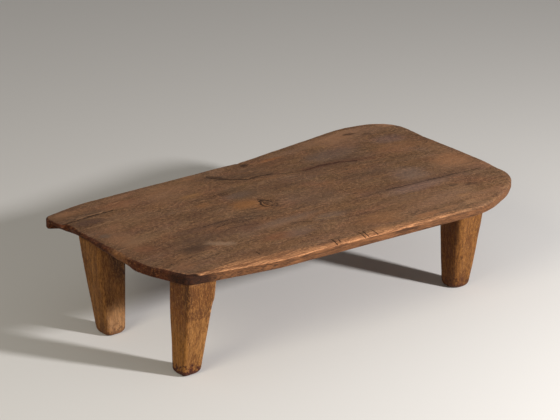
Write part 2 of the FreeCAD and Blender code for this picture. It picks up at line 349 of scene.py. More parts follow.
def plank_surface():
    """Points, quads, triangles, share of wear and of painted highlight, and side share of the plank as one
    closed surface.

    The top is a patch inside the edge's first row, and the underside one with half
    as many points each way inside its last row, joined by a row of triangles.
    """
    ring = outline_ring(PLANK_CORNERS)
    normal = outward(ring)
    distance, level, side_rows = edge_profile(ring, normal)
    # Short steps in run square to the edge, and long ones towards the open middle
    steady = spread(normal, 42)
    steady /= np.linalg.norm(steady, axis=1)[:, None]
    short = np.minimum(distance, 0.009)
    plan = ring - short[:, :, None] * normal - (distance - short)[:, :, None] * steady
    band = np.concatenate([plan, level[:, :, None]], axis=2)

    columns, rows = GRID_COLUMNS, GRID_ROWS
    half_columns, half_rows = (columns + 1) // 2, (rows + 1) // 2
    inner = band[-1, ::2] - 0.005 * np.column_stack([steady[::2], np.zeros(len(steady[::2]))])
    top = coons_patch(band[0], columns, rows).reshape(-1, 3)
    under = coons_patch(inner, half_columns, half_rows).reshape(-1, 3)
    points = np.concatenate([top, band[1:].reshape(-1, 3), under])
    side = np.concatenate([np.zeros(len(top)), side_rows[1:].ravel(), np.ones(len(under))])

    top_numbers = np.arange(len(top)).reshape(columns, rows)
    band_numbers = len(top) + np.arange(len(band[1:]) * len(ring)).reshape(-1, len(ring))
    under_numbers = band_numbers[-1, -1] + 1 + np.arange(len(under)).reshape(half_columns, half_rows)
    numbers = np.vstack([grid_rim(top_numbers), band_numbers])
    ahead = np.roll(numbers, -1, axis=1)
    belt = np.stack([numbers[:-1], numbers[1:], ahead[1:], ahead[:-1]], axis=2).reshape(-1, 4)
    quads = np.concatenate([grid_quads(top_numbers), belt, grid_quads(under_numbers)[:, ::-1]])
    outer, within = numbers[-1], grid_rim(under_numbers)
    first, middle, last = outer[::2], outer[1::2], np.roll(outer, -2)[::2]
    triangles = np.concatenate([
        np.stack([first, within, middle], axis=1),
        np.stack([middle, within, np.roll(within, -1)], axis=1),
        np.stack([middle, np.roll(within, -1), last], axis=1),
    ])

    flat = points[:, :2]
    upper = smooth_step(PLANK_TOP - 0.012, PLANK_TOP - 0.004, points[:, 2])
    points[:, 2] -= plank_wear_depth(flat, ring) * upper
    lower = smooth_step(PLANK_UNDERSIDE + 0.006, PLANK_UNDERSIDE, points[:, 2])
    points[:, 2] += 0.0004 * (1 + ripple(flat, (0.30, 0.045), 18, 21)) * lower
    return points, quads, triangles, plank_rubbing_and_highlight(flat, ring), side


def add_object(name, data):
    """Object that shows a mesh, a lamp or a camera."""
    thing = bpy.data.objects.new(name, data)
    bpy.context.scene.collection.objects.link(thing)
    return thing


def make_piece(name, points, quads, triangles, fields):
    """Mesh object at the origin from whole arrays, with one number a point in each field."""
    loops = np.concatenate([quads.ravel(), triangles.ravel()]).astype(np.int32)
    totals = np.concatenate([np.full(len(quads), 4), np.full(len(triangles), 3)])
    starts = np.concatenate([[0], np.cumsum(totals)[:-1]]).astype(np.int32)
    mesh = bpy.data.meshes.new(name)
    mesh.vertices.add(len(points))
    mesh.vertices.foreach_set("co", points.astype(np.float32).ravel())
    mesh.loops.add(len(loops))
    mesh.loops.foreach_set("vertex_index", loops)
    mesh.polygons.add(len(totals))
    mesh.polygons.foreach_set("loop_start", starts)
    mesh.polygons.foreach_set("use_smooth", np.ones(len(totals), bool))
    for field, values in fields.items():
        layer = mesh.attributes.new(field, "FLOAT", "POINT")
        layer.data.foreach_set("value", values.astype(np.float32))
    mesh.update(calc_edges=True)
    mesh.validate()
    return add_object(name, mesh)


def fill(tree, socket, value):
    """Links a socket into an input, or writes a plain value there."""
    if isinstance(value, bpy.types.NodeSocket):
        tree.links.new(value, socket)
    else:
        socket.default_value = value


def put(tree, kind, settings=None, **sockets):
    """Adds a node, sets what it is, and fills its inputs by name."""
    node = tree.nodes.new(kind)
    for key, value in (settings or {}).items():
        setattr(node, key, value)
    for name, value in sockets.items():
        fill(tree, node.inputs[name.replace("_", " ")], value)
    return node


def calc(tree, operation, *values):
    """Result of one step of arithmetic."""
    node = tree.nodes.new("ShaderNodeMath")
    node.operation = operation
    for socket, value in zip(node.inputs, values):
        fill(tree, socket, value)
    return node.outputs[0]


def times(tree, *values):
    """Product of several values."""
    product = values[0]
    for value in values[1:]:
        product = calc(tree, "MULTIPLY", product, value)
    return product


def scaled(tree, value, factor, offset):
    """Value times a factor, plus an offset."""
    return calc(tree, "ADD", times(tree, value, factor), offset)


def strongest(tree, masks):
    """The strongest of several masks."""
    joined, *others = masks
    for mask in others:
        joined = calc(tree, "MAXIMUM", joined, mask)
    return joined


def vector_calc(tree, operation, *values, output=0):
    """Result of one step of vector arithmetic."""
    node = tree.nodes.new("ShaderNodeVectorMath")
    node.operation = operation
    for socket, value in zip(node.inputs, values):
        fill(tree, socket, value)
    return node.outputs[output]


def remap(tree, value, low, high, new_low=0.0, new_high=1.0):
    """Value carried smoothly from one range to another."""
    node = put(tree, "ShaderNodeMapRange", {"interpolation_type": "SMOOTHSTEP"}, Value=value)
    for name, number in (("From Min", low), ("From Max", high), ("To Min", new_low), ("To Max", new_high)):
        fill(tree, node.inputs[name], number)
    return node.outputs["Result"]


def noise(tree, vector, scale, detail=3.0, roughness=0.55, bend=0.0, low=0.36, high=0.64):
    """Soft random mask from 0 to 1. A scale in three parts stretches it."""
    if isinstance(scale, tuple):
        vector, scale = vector_calc(tree, "MULTIPLY", vector, scale), 1.0
    fac = put(tree, "ShaderNodeTexNoise", Vector=vector, Scale=scale, Detail=detail,
              Roughness=roughness, Distortion=bend).outputs["Fac"]
    return remap(tree, fac, low, high)


def tint(tree, share, first, second):
    """First colour with a share of the second laid over it."""
    node = tree.nodes.new("ShaderNodeMix")
    node.data_type = "RGBA"
    for socket, value in zip((node.inputs[0], node.inputs[6], node.inputs[7]), (share, first, second)):
        fill(tree, socket, value)
    return node.outputs[2]


def shade(red, green, blue):
    """Colour as it looks on a screen, from 0 to 255, as the linear one that nodes take."""
    screen = np.array([red, green, blue]) / 255
    linear = np.where(screen <= 0.04045, screen / 12.92, ((screen + 0.055) / 1.055) ** 2.4)
    return (*linear.tolist(), 1.0)


def new_group(name, inputs, outputs):
    """Empty shader group with named sockets, and its two ends."""
    group = bpy.data.node_groups.new(name, "ShaderNodeTree")
    for socket, kind, value in inputs:
        made = group.interface.new_socket(socket, in_out="INPUT", socket_type=kind)
        if value is not None:
            made.default_value = value
    for socket, kind in outputs:
        group.interface.new_socket(socket, in_out="OUTPUT", socket_type=kind)
    return group, group.nodes.new("NodeGroupInput").outputs, group.nodes.new("NodeGroupOutput").inputs


def use(tree, group, **sockets):
    """A group placed in a tree with its own values."""
    return put(tree, "ShaderNodeGroup", {"node_tree": group}, **sockets).outputs


NUMBER, VECTOR = "NodeSocketFloat", "NodeSocketVector"


def grain_group():
    """Grain of wood whose fibres run along X. One streak is about 1 wide and 1 long."""
    group, given, gives = new_group(
        "wood_grain",
        [("Vector", VECTOR, None)],
        [("Tone", NUMBER), ("Streaks", NUMBER), ("Fibres", NUMBER), ("Pores", NUMBER), ("Height", NUMBER)],
    )
    place = given["Vector"]
    tone = noise(group, place, 0.21, 2.0, 0.5, 0.5)
    streaks = noise(group, place, 1.0, 4.0, 0.65, 0.35)
    fibres = noise(group, place, (2.2, 5.5, 5.5), 2.0, 0.7, 0.2, 0.30, 0.70)
    pores = noise(group, place, (3.0, 6.5, 6.5), 1.0, 0.5, 0.0, 0.60, 0.72)
    height = calc(group, "ADD", times(group, streaks, 0.45), times(group, fibres, 0.55))
    height = calc(group, "SUBTRACT", height, times(group, pores, 0.6))
    for socket, end in zip((tone, streaks, fibres, pores, height), gives):
        group.links.new(socket, end)
    return group


def uneven_group():
    """Shifts places by soft noise, so that what is drawn there gets a ragged edge."""
    group, given, gives = new_group(
        "uneven",
        [("Vector", VECTOR, None), ("Scale", NUMBER, 60.0), ("Amount", NUMBER, 0.01)],
        [("Vector", VECTOR)],
    )
    colour = put(group, "ShaderNodeTexNoise", Vector=given["Vector"], Scale=given["Scale"],
                 Detail=4.0, Roughness=0.6).outputs["Color"]
    shift = put(group, "ShaderNodeVectorMath", {"operation": "SCALE"}, Scale=given["Amount"])
    group.links.new(vector_calc(group, "SUBTRACT", colour, (0.5, 0.5, 0.5)), shift.inputs[0])
    group.links.new(vector_calc(group, "ADD", given["Vector"], shift.outputs[0]), gives["Vector"])
    return group


def knot_group():
    """Fibres that part round a knot as water parts round a stone, and the knot's broken rings."""
    group, given, gives = new_group(
        "knot",
        [("Vector", VECTOR, None), ("Place", VECTOR, None), ("Centre", VECTOR, None),
         ("Radius", NUMBER, 0.02)],
        [("Vector", VECTOR), ("Rings", NUMBER)],
    )
    gap = vector_calc(group, "SUBTRACT", given["Place"], given["Centre"])
    gap = vector_calc(group, "MULTIPLY", gap, (0.72, 1.0, 0.0))
    away = calc(group, "DIVIDE", vector_calc(group, "LENGTH", gap, output=1), given["Radius"])
    near = calc(group, "DIVIDE", 1.4, calc(group, "ADD", calc(group, "POWER", away, 2.0), 1.4))
    across = put(group, "ShaderNodeSeparateXYZ", Vector=gap).outputs["Y"]
    shift = put(group, "ShaderNodeCombineXYZ", Y=times(group, across, near, -0.9)).outputs[0]
    group.links.new(vector_calc(group, "ADD", given["Vector"], shift), gives["Vector"])
    rough = put(group, "ShaderNodeTexNoise", Vector=given["Place"], Scale=110.0, Detail=3.0).outputs["Fac"]
    wobbly = calc(group, "ADD", away, times(group, calc(group, "SUBTRACT", rough, 0.5), 1.3))
    inside = remap(group, wobbly, 0.70, 1.35, 1.0, 0.0)
    rings = remap(group, calc(group, "SINE", times(group, wobbly, 9.0)), 0.1, 0.95)
    broken = noise(group, given["Place"], 75.0, 2.0, low=0.40, high=0.56)
    group.links.new(times(group, rings, inside, broken), gives["Rings"])
    return group


def patch_group():
    """Soft patch about a place, for a stained, worn or scorched spot, or for painted light or shade."""
    group, given, gives = new_group(
        "patch",
        [("Vector", VECTOR, None), ("Centre", VECTOR, None), ("Reach", VECTOR, (0.05, 0.02, 1.0)),
         ("Core", NUMBER, 0.3)],
        [("Mask", NUMBER)],
    )
    gap = vector_calc(group, "SUBTRACT", given["Vector"], given["Centre"])
    away = vector_calc(group, "LENGTH", vector_calc(group, "DIVIDE", gap, given["Reach"]), output=1)
    group.links.new(remap(group, away, given["Core"], 1.1, 1.0, 0.0), gives["Mask"])
    return group


def line_group():
    """Thin straight line seen from above, for a crack, a cut or a pale ridge.

    Run goes from the line's start to its end, and Pull is Run over its length squared.
    """
    group, given, gives = new_group(
        "line",
        [("Vector", VECTOR, None), ("Start", VECTOR, None), ("Run", VECTOR, None), ("Pull", VECTOR, None),
         ("Width", NUMBER, 0.002)],
        [("Mask", NUMBER)],
    )
    here = vector_calc(group, "MULTIPLY", given["Vector"], (1.0, 1.0, 0.0))
    reach = vector_calc(group, "SUBTRACT", here, given["Start"])
    share = calc(group, "MINIMUM", vector_calc(group, "DOT_PRODUCT", reach, given["Pull"], output=1), 1.0)
    share = calc(group, "MAXIMUM", share, 0.0)
    foot = put(group, "ShaderNodeVectorMath", {"operation": "SCALE"}, Scale=share)
    group.links.new(given["Run"], foot.inputs[0])
    gap = vector_calc(group, "LENGTH", vector_calc(group, "SUBTRACT", reach, foot.outputs[0]), output=1)
    away = calc(group, "DIVIDE", gap, given["Width"])
    group.links.new(remap(group, away, 0.2, 0.75, 1.0, 0.0), gives["Mask"])
    return group


GRAIN, UNEVEN, KNOT, PATCH, LINE = grain_group(), uneven_group(), knot_group(), patch_group(), line_group()

# How the fibres slant and bend along the plank: y moves by x (bend x + slant)
FIBRE_BEND, FIBRE_SLANT = 0.154, 0.0685
# Middle and reach, in metres, of the combed spot on top, of the fresh break and of the burnt corner
COMBED_SPOT = (-0.160, -0.040, PLANK_TOP), (0.090, 0.040, 1.0)
FRESH_BREAK = (-0.497, -0.038, 0.212), (0.050, 0.042, 0.030)
BURNT_CORNER = (-0.450, -0.218, 0.212), (0.056, 0.050, 0.060)
CUT_MARK_WIDTH = 2.8
# Patches on the plank: x, y and reach each way in millimetres, strength and colour. The pale ones along the
# back edge are a painted highlight of the back arris catching the light
TAN, RED, DARK, GREY = (152, 108, 72), (132, 84, 58), (70, 50, 39), (96, 86, 77)
PLANK_PATCHES = [
    (294, 242, 85, 40, 0.45, (158, 118, 88)), (-440, 20, 38, 62, 0.45, (148, 110, 82)),
    (-202, 205, 90, 42, 0.45, (156, 116, 86)), (400, 236, 75, 30, 0.35, (150, 116, 94)),
    (49, -215, 80, 36, 0.4, (162, 114, 76)), (410, -58, 80, 38, 0.45, (158, 118, 90)),
    (218, -215, 120, 34, 0.35, (156, 120, 96)), (452, 40, 28, 60, 0.35, (154, 114, 82)),
    (455, 245, 38, 18, 0.35, (154, 116, 86)), (168, 234, 80, 16, 0.3, (148, 116, 94)),
    (-466, 214, 34, 16, 0.4, (140, 104, 76)), (-365, 110, 80, 55, 0.3, (142, 106, 78)),
    (-435, -182, 40, 24, 0.4, (152, 108, 76)), (-313, -70, 80, 36, 0.35, (84, 62, 50)),
    (199, 111, 150, 36, 0.45, (82, 60, 48)), (-79, 85, 55, 45, 0.35, (84, 66, 54)),
    (12, 182, 70, 45, 0.3, (86, 64, 50)), (13, -38, 80, 36, 0.25, (88, 68, 56)),
    (332, 256, 80, 30, 0.35, (156, 112, 80)), (447, -104, 45, 32, 0.4, (162, 118, 90)),
    (-457, 16, 30, 90, 0.35, (150, 108, 78)), (-112, 231, 36, 18, 0.45, (158, 114, 82)),
    (8, -260, 36, 14, 0.45, (172, 124, 84)), (-310, 233, 55, 16, 0.4, (156, 114, 88)),
    (-228, 157, 70, 30, 0.35, (150, 112, 84)), (228, 251, 45, 22, 0.35, (152, 114, 90)),
    (484, 254, 28, 26, 0.6, (166, 122, 92)), (210, 14, 80, 38, 0.35, (84, 64, 54)),
    (240, 165, 100, 45, 0.32, (98, 90, 90)), (-110, -100, 110, 20, 0.35, (126, 108, 96)),
    (308, -188, 50, 30, 0.35, (166, 128, 98)), (130, 238, 40, 20, 0.35, (150, 112, 84)),
    (-336, -88, 100, 42, 0.3, (84, 62, 50)), (365, 262, 90, 18, 0.4, (162, 124, 98)),
    (285, -40, 55, 45, 0.32, (136, 118, 110)), (410, 165, 55, 35, 0.3, (112, 98, 98)),
    (243, -118, 115, 32, 0.4, (140, 116, 110)), (478, 250, 26, 26, 0.4, (176, 132, 100)),
    (-423, 84, 34, 30, 0.4, (154, 114, 84)), (-277, -205, 40, 24, 0.35, (92, 66, 50)),
    (325, -236, 94, 16, 0.4, (160, 118, 88)), (212, -260, 30, 12, 0.35, (172, 124, 88)),
    (-416, -5, 60, 26, 0.38, (148, 114, 86)), (-395, 186, 50, 24, 0.3, (88, 64, 52)),
    (-126, -114, 110, 16, 0.35, (148, 114, 90)), (-370, -132, 42, 22, 0.3, (92, 70, 56)),
    (48, -72, 36, 20, 0.3, (150, 116, 90)), (20, -10, 100, 50, 0.18, (122, 104, 90)),
    (-235, 30, 70, 34, 0.25, (84, 62, 48)), (-458, 220, 36, 14, 0.45, (152, 112, 84)),
    (80, 138, 55, 22, 0.3, (80, 58, 44)), (142, -262, 45, 14, 0.4, (188, 130, 88)),
    (309, 212, 60, 45, 0.25, (158, 118, 94)), (290, -260, 45, 16, 0.35, (172, 126, 92)),
    (-120, 26, 48, 32, 0.62, (156, 106, 62)), (-100, -8, 24, 22, 0.5, (150, 102, 62)),
    (-182, 140, 36, 14, 0.5, (152, 110, 68)), (-196, 77, 24, 14, 0.45, (146, 100, 62)),
    (-330, 195, 65, 30, 0.55, (144, 98, 70)), (-310, -30, 60, 20, 0.45, (90, 64, 52)),
    (-215, -80, 70, 30, 0.4, (92, 66, 54)), (180, -170, 90, 30, 0.4, (142, 108, 80)),
    (390, 110, 75, 42, 0.42, (152, 106, 72)), (90, 200, 80, 20, 0.4, (100, 70, 52)),
    (-430, 212, 50, 16, 0.25, TAN), (284, -222, 24, 12, 0.6, (160, 118, 82)),
    (262, -262, 30, 12, 0.55, (160, 122, 90)), (425, -35, 60, 52, 0.55, (164, 116, 80)),
    (-179, -164, 50, 24, 0.5, RED), (-440, -50, 30, 22, 0.45, RED), (-98, 80, 50, 22, 0.45, (112, 94, 82)),
    (-23, -139, 55, 24, 0.35, (132, 110, 98)), (-136, -176, 50, 24, 0.4, (124, 102, 92)),
    (280, -70, 60, 30, 0.4, (132, 108, 92)), (-316, -111, 17, 18, 0.62, (154, 126, 102)),
    (-300, -122, 17, 18, 0.62, (154, 126, 102)), (-285, -134, 17, 18, 0.62, (154, 126, 102)),
    (-440, 147, 48, 18, 0.6, (78, 57, 50)), (-462, 58, 17, 14, 0.5, GREY), (-362, -114, 52, 25, 0.7, DARK),
    (0, 76, 120, 36, 0.25, (80, 60, 48)), (-100, 118, 50, 20, 0.3, (74, 54, 42)),
    (-395, 190, 30, 14, 0.3, (78, 56, 44)), (-250, -26, 55, 24, 0.4, (80, 58, 46)),
    (307, -161, 16, 9, 0.6, DARK), (344, -179, 22, 8, 0.6, DARK), (360, 248, 24, 9, 0.8, (62, 40, 30)),
    (392, 224, 16, 7, 0.65, (66, 44, 33)), (434, 187, 22, 8, 0.5, (84, 50, 36)),
    (105, 221, 45, 10, 0.5, (160, 104, 62)), (-109, -123, 9, 6, 0.5, DARK), (-86, -133, 9, 6, 0.5, DARK),
    (-60, -155, 12, 6, 0.5, DARK), (31, 226, 13, 10, 0.9, (56, 36, 25)), (199, 63, 6, 6, 0.9, (46, 32, 26)),
    (-448, -153, 4, 4, 0.9, (50, 34, 26)),
]
# Lines on the plank: bends and width in millimetres, strength and colour
CRACK, PALE = (42, 27, 19), (164, 126, 94)
PLANK_LINES = [
    ([(440, -111), (364, -105), (266, -97), (127, -90)], 30, 0.28, (86, 64, 54)),
    ([(120, 119), (227, 112), (290, 88)], 24, 0.35, (96, 60, 44)),
    ([(-100, 220), (-48, 185), (40, 150)], 30, 0.35, (84, 62, 48)),
    ([(-500, 176), (-451, 174), (-404, 177)], 16, 0.35, (84, 58, 44)),
    ([(-500, 173.8), (-472, 171.2), (-451, 173), (-404, 177), (-360, 176)], 3.6, 0.85, CRACK),
    ([(-83, 214), (-71, 201), (-48, 174), (-19, 154)], 8, 0.8, CRACK),
    ([(-76, 218), (-56, 196)], 7, 0.6, CRACK),
    ([(-273, -25), (-237, -23), (-202, -25), (-172, -34), (-137, -51)], 3.6, 0.75, (58, 37, 27)),
    ([(-267, -48), (-226, -43), (-191, -45), (-160, -53)], 3.4, 0.75, (58, 37, 27)),
    ([(-262, -72), (-226, -68), (-196, -71), (-172, -82)], 3.2, 0.6, (62, 40, 30)),
    ([(-55, -137), (-37, -148), (-14, -151)], 5.6, 0.5, (156, 120, 80)),
    ([(-120, -130), (-95, -129), (-79, -140)], 5, 0.4, CRACK),
    ([(-72, 27), (-84, 24), (-92, 8), (-95, -5), (-91, -15)], 4.4, 0.95, (38, 22, 14)),
    ([(-81, 33), (-72, 26), (-67, 15), (-66, 2)], 4.4, 0.95, (38, 22, 14)),
    ([(-66, -2), (-63, -12), (-74, -21), (-86, -18)], 3.6, 0.7, (60, 38, 26)),
    ([(-80, 21), (-84, 5), (-84, -6), (-78, -12)], 3.4, 0.8, (52, 31, 20)),
    ([(-152, 116), (-147, 106), (-138, 113)], 3.6, 0.8, (50, 33, 24)),
    ([(-126, 112), (-116, 112), (-117, 101), (-124, 103)], 3.4, 0.75, (50, 33, 24)),
    ([(-19, 154), (14, 152), (48, 143)], 4.6, 0.75, CRACK),
    ([(48, 143), (73, 126), (121, 116)], 3.6, 0.55, CRACK),
    ([(121, 116), (165, 119), (217, 111), (251, 95)], 5.4, 0.8, (58, 30, 20)),
    ([(434, -116), (364, -110), (266, -102), (170, -95)], 4.2, 0.6, CRACK),
    ([(170, -95), (82, -97), (40, -96)], 4, 0.3, CRACK), ([(-421, -77), (-389, -74)], 2.6, 0.4, CRACK),
    ([(-449, 180.5), (-402, 181.5), (-383, 180.5)], 3.4, 0.65, PALE),
    ([(-427, 165), (-410, 162), (-395, 144)], 3.4, 0.5, PALE),
    ([(-463, 117), (-432, 119), (-403, 125)], 4.6, 0.55, PALE),
    ([(-340, 206), (-319, 210)], 3.6, 0.55, PALE), ([(70, -226), (94, -229)], 3, 0.55, PALE),
    ([(84, -235), (112, -237)], 3, 0.5, PALE), ([(98, -223), (118, -225)], 2.6, 0.45, PALE),
]
# Lines in the rubbed front margin, given in the same way
WEAR_LINES = [
    ([(-430, -221), (-400, -229), (-360, -237), (-310, -245)], 3.4, 0.6, (100, 60, 40)),
    ([(-262, -246), (-222, -251), (-180, -257)], 3, 0.45, (108, 68, 44)),
    ([(-330, -218), (-285, -224)], 2.6, 0.35, (108, 68, 44)),
    ([(-150, -252), (-120, -254)], 2.8, 0.4, (96, 60, 40)),
]


def bare_material(name):
    """Material without nodes, its tree, the place on the object and that place's parts."""
    material = bpy.data.materials.new(name)
    material.use_nodes = True
    tree = material.node_tree
    tree.nodes.clear()
    spot = put(tree, "ShaderNodeTexCoord").outputs["Object"]
    return material, tree, spot, put(tree, "ShaderNodeSeparateXYZ", Vector=spot).outputs


def finish_wood(tree, colour, relief, strength, depth, roughness, shine):
    """Shader of a wood from its colour, its relief as a bump, its roughness and its shine."""
    bump = put(tree, "ShaderNodeBump", Strength=strength, Distance=depth, Height=relief).outputs[0]
    shader = put(tree, "ShaderNodeBsdfPrincipled", Base_Color=colour, Normal=bump, Roughness=roughness)
    shader.inputs["Specular IOR Level"].default_value = shine
    tree.links.new(shader.outputs[0], put(tree, "ShaderNodeOutputMaterial").inputs["Surface"])


def grain(tree, flow, length, width):
    """Grain along a flow, with streaks of a length and width."""
    return use(tree, GRAIN, Vector=vector_calc(tree, "MULTIPLY", flow, (1 / length, 1 / width, 1 / width)))


def attribute(tree, name):
    """Values that the mesh carries under a name."""
    return put(tree, "ShaderNodeAttribute", {"attribute_name": name}).outputs["Fac"]


def patch(tree, vector, centre, reach, core=0.3):
    """Mask of a soft patch about a place."""
    return use(tree, PATCH, Vector=vector, Centre=centre, Reach=reach, Core=core)["Mask"]


def lay(tree, colour, mask, strength, paint):
    """Colour with a paint laid over it where a mask is."""
    return tint(tree, times(tree, mask, strength), colour, shade(*paint))


def bent_line(tree, vector, bends, width):
    """Mask of a thin line through several places."""
    bends = metres(bends)
    return strongest(tree, [
        use(tree, LINE, Vector=vector, Start=(*start, 0.0), Run=(*run, 0.0),
            Pull=(*(run / (run @ run)), 0.0), Width=width / 1000)["Mask"]
        for start, run in zip(bends, np.diff(bends, axis=0))
    ])


def plank_colour(tree, spot, flow, wood):
    """Colour of the plank's top: brown heartwood under old oil, dust and dirt. Its greyish patches are part
    dust and part a painted cool reflection of the pale surroundings.
    """
    # Greyish patches: part dust, part painted cool reflection on the satin top
    dust_and_reflection = noise(tree, flow, (8.0, 17.0, 17.0), 4.0, 0.65)
    reddish = noise(tree, vector_calc(tree, "ADD", flow, (3.1, 1.7, 0.0)), (8.0, 18.0, 18.0), 4.0, 0.65)
    olive = noise(tree, vector_calc(tree, "ADD", flow, (5.9, 2.3, 0.0)), (10.0, 22.0, 22.0), 4.0, 0.65)
    dim = noise(tree, vector_calc(tree, "ADD", flow, (1.3, 4.7, 0.0)), (15.0, 36.0, 36.0), 5.0, 0.7)
    lined = noise(tree, vector_calc(tree, "ADD", flow, (7.7, 0.9, 0.0)), (7.0, 14.0, 14.0), 2.0, 0.5)
    lined = scaled(tree, lined, 0.8, 0.2)
    grit = noise(tree, flow, (120.0, 210.0, 210.0), 4.0, 0.85, 0.0, 0.33, 0.67)
    specks = noise(tree, spot, 310.0, 1.0, 0.5, low=0.56, high=0.70)
    colour = tint(tree, wood["Tone"], shade(114, 82, 57), shade(136, 100, 71))
    dents = remap(tree, wood["Streaks"], 0.30, 0.0)
    far_end = remap(tree, put(tree, "ShaderNodeSeparateXYZ", Vector=flow).outputs["X"], -0.36, -0.47)
    for mask, strength, paint in (
        (dust_and_reflection, 0.75, (140, 111, 92)),
        (reddish, 0.60, (139, 88, 61)),
        (olive, 0.50, (124, 94, 58)),
        (dim, 0.50, (84, 59, 45)),
        (times(tree, wood["Streaks"], lined), 0.25, (156, 116, 82)),
        (times(tree, dents, lined), 0.50, (70, 48, 36)),
        (times(tree, wood["Pores"], lined), 0.45, (50, 34, 25)),
        (remap(tree, grit, 0.5, 1.0), 0.58, (170, 130, 95)),
        (remap(tree, grit, 0.5, 0.0), 0.60, (62, 42, 30)),
        (specks, 0.40, (62, 42, 30)),
        (far_end, 0.30, (76, 54, 42)),
    ):
        colour = lay(tree, colour, mask, strength, paint)
    return colour, grit, dim


def plank_wood():
    """Material of the plank: its top, its worn pale arris, a painted highlight along its back edge, its
    dirty sides and its marks.
    """
    material, tree, spot, parts = bare_material("plank_wood")
    rubbing_and_highlight, side = attribute(tree, "rubbing_and_highlight"), attribute(tree, "side")

    # The fibres bend slowly along the board, and part round its knots
    bend = scaled(tree, parts["X"], FIBRE_BEND, FIBRE_SLANT)
    flow = put(tree, "ShaderNodeCombineXYZ", X=parts["X"], Z=parts["Z"],
               Y=calc(tree, "ADD", parts["Y"], times(tree, parts["X"], bend))).outputs[0]
    rings = []
    for centre, radius, _ in KNOTS:
        knot = use(tree, KNOT, Vector=flow, Place=spot, Centre=(*metres(centre), 0.0), Radius=radius / 1000)
        flow = knot["Vector"]
        rings.append(knot["Rings"])
    wood = grain(tree, flow, 0.120, 0.0075)

    colour, grit, dim = plank_colour(tree, spot, flow, wood)

    ragged = use(tree, UNEVEN, Vector=spot, Scale=55.0, Amount=0.022)["Vector"]
    for x, y, along, across, strength, paint in PLANK_PATCHES:
        mask = patch(tree, ragged, (x / 1000, y / 1000, PLANK_TOP), (along / 1000, across / 1000, 1.0))
        colour = lay(tree, colour, mask, strength, paint)
    waves = put(tree, "ShaderNodeTexWave", {"bands_direction": "Y"}, Vector=flow, Scale=68.0, Distortion=3.0,
                Detail=2.0, Detail_Scale=0.6).outputs["Fac"]
    combed = patch(tree, ragged, *COMBED_SPOT)
    colour = lay(tree, colour, times(tree, remap(tree, waves, 0.45, 0.95), combed), 0.65, (64, 44, 35))
    shaky = use(tree, UNEVEN, Vector=spot, Scale=70.0, Amount=0.010)["Vector"]
    for bends, width, strength, paint in PLANK_LINES:
        colour = lay(tree, colour, bent_line(tree, shaky, bends, width), strength, paint)
    rings = strongest(tree, rings)
    colour = lay(tree, colour, rings, 0.60, (44, 26, 17))

    # Rubbed arris: the old dirt is gone and the wood's own orange shows in fine streaks. Along the back edge
    # the same pale streaks are a painted highlight where the arris catches the light.
    lines = noise(tree, flow, (1 / 0.045, 1 / 0.0022, 1 / 0.0022), 3.0, 0.7, 0.2, 0.33, 0.67)
    streaky = calc(tree, "ADD", times(tree, lines, 0.35), times(tree, wood["Streaks"], 0.35))
    streaky = calc(tree, "ADD", streaky, times(tree, grit, 0.20))
    rubbed_and_highlight = remap(tree, times(tree, rubbing_and_highlight, calc(tree, "ADD", streaky, 0.50)), 0.15, 0.95)
    pale = tint(tree, lines, shade(132, 85, 54), shade(222, 161, 114))
    pale = tint(tree, times(tree, remap(tree, grit, 0.5, 0.0), 0.60), pale, shade(92, 58, 38))
    colour = tint(tree, times(tree, rubbed_and_highlight, 0.88), colour, pale)
    for bends, width, strength, paint in WEAR_LINES:
        colour = lay(tree, colour, bent_line(tree, shaky, bends, width), strength, paint)

    # Sides: dark and dirty, with tan wood where the narrow end has broken away
    grime = tint(tree, lines, shade(66, 42, 27), shade(136, 92, 59))
    grime = tint(tree, times(tree, dim, 0.45), grime, shade(60, 37, 24))
    orange = tint(tree, lines, shade(88, 59, 38), shade(133, 91, 60))
    grime = tint(tree, remap(tree, parts["X"], 0.05, 0.40), grime, orange)
    end = remap(tree, parts["X"], -0.440, -0.460)
    flecks = remap(tree, grit, 0.70, 0.95)
    rusty = tint(tree, dim, shade(86, 44, 23), shade(60, 30, 15))
    grime = tint(tree, end, grime, tint(tree, times(tree, flecks, 0.8), rusty, shade(140, 92, 58)))
    broken = patch(tree, ragged, *FRESH_BREAK)
    fresh = tint(tree, grit, shade(104, 68, 42), shade(158, 112, 72))
    grime = tint(tree, times(tree, broken, 0.85), grime, fresh)
    burnt = patch(tree, ragged, *BURNT_CORNER, 0.55)
    char = tint(tree, grit, shade(30, 16, 9), shade(66, 35, 19))
    grime = tint(tree, times(tree, burnt, 0.95), grime, char)
    below = remap(tree, parts["Z"], PLANK_UNDERSIDE + 0.002, PLANK_UNDERSIDE)
    raw = tint(tree, wood["Streaks"], shade(84, 58, 40), shade(124, 90, 62))
    grime = tint(tree, below, grime, tint(tree, times(tree, dim, 0.5), raw, shade(62, 42, 30)))
    colour = tint(tree, remap(tree, side, 0.15, 0.75), colour, grime)

    cuts = strongest(tree, [bent_line(tree, spot, cut[:2], CUT_MARK_WIDTH) for cut in CUTS])
    colour = lay(tree, colour, times(tree, cuts, remap(tree, side, 0.3, 0.0)), 0.92, (46, 28, 18))

    relief = calc(tree, "ADD", times(tree, wood["Height"], 0.35), times(tree, grit, 0.65))
    relief = calc(tree, "SUBTRACT", relief, times(tree, rings, 0.7))
    dull = calc(tree, "ADD", times(tree, dim, 0.10), times(tree, wood["Streaks"], 0.06))
    finish_wood(tree, colour, relief, 0.9, 0.0015, calc(tree, "ADD", dull, 0.58), 0.18)
    return material


plank_points, plank_quads, plank_triangles, plank_rubbed_and_highlight, plank_side = plank_surface()
plank = make_piece("plank", plank_points, plank_quads, plank_triangles,
                   {"rubbing_and_highlight": plank_rubbed_and_highlight, "side": plank_side})
plank.data.materials.append(plank_wood())
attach(plank, "root")
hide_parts("top_board")


# Legs: four tapered posts of golden hardwood, hewn square with soft corners and
# rounded at the foot. A round tenon on each head stands in a blind mortise in the
# plank, and the head's shoulder bears against the underside.
LEG_HEIGHT = 0.203
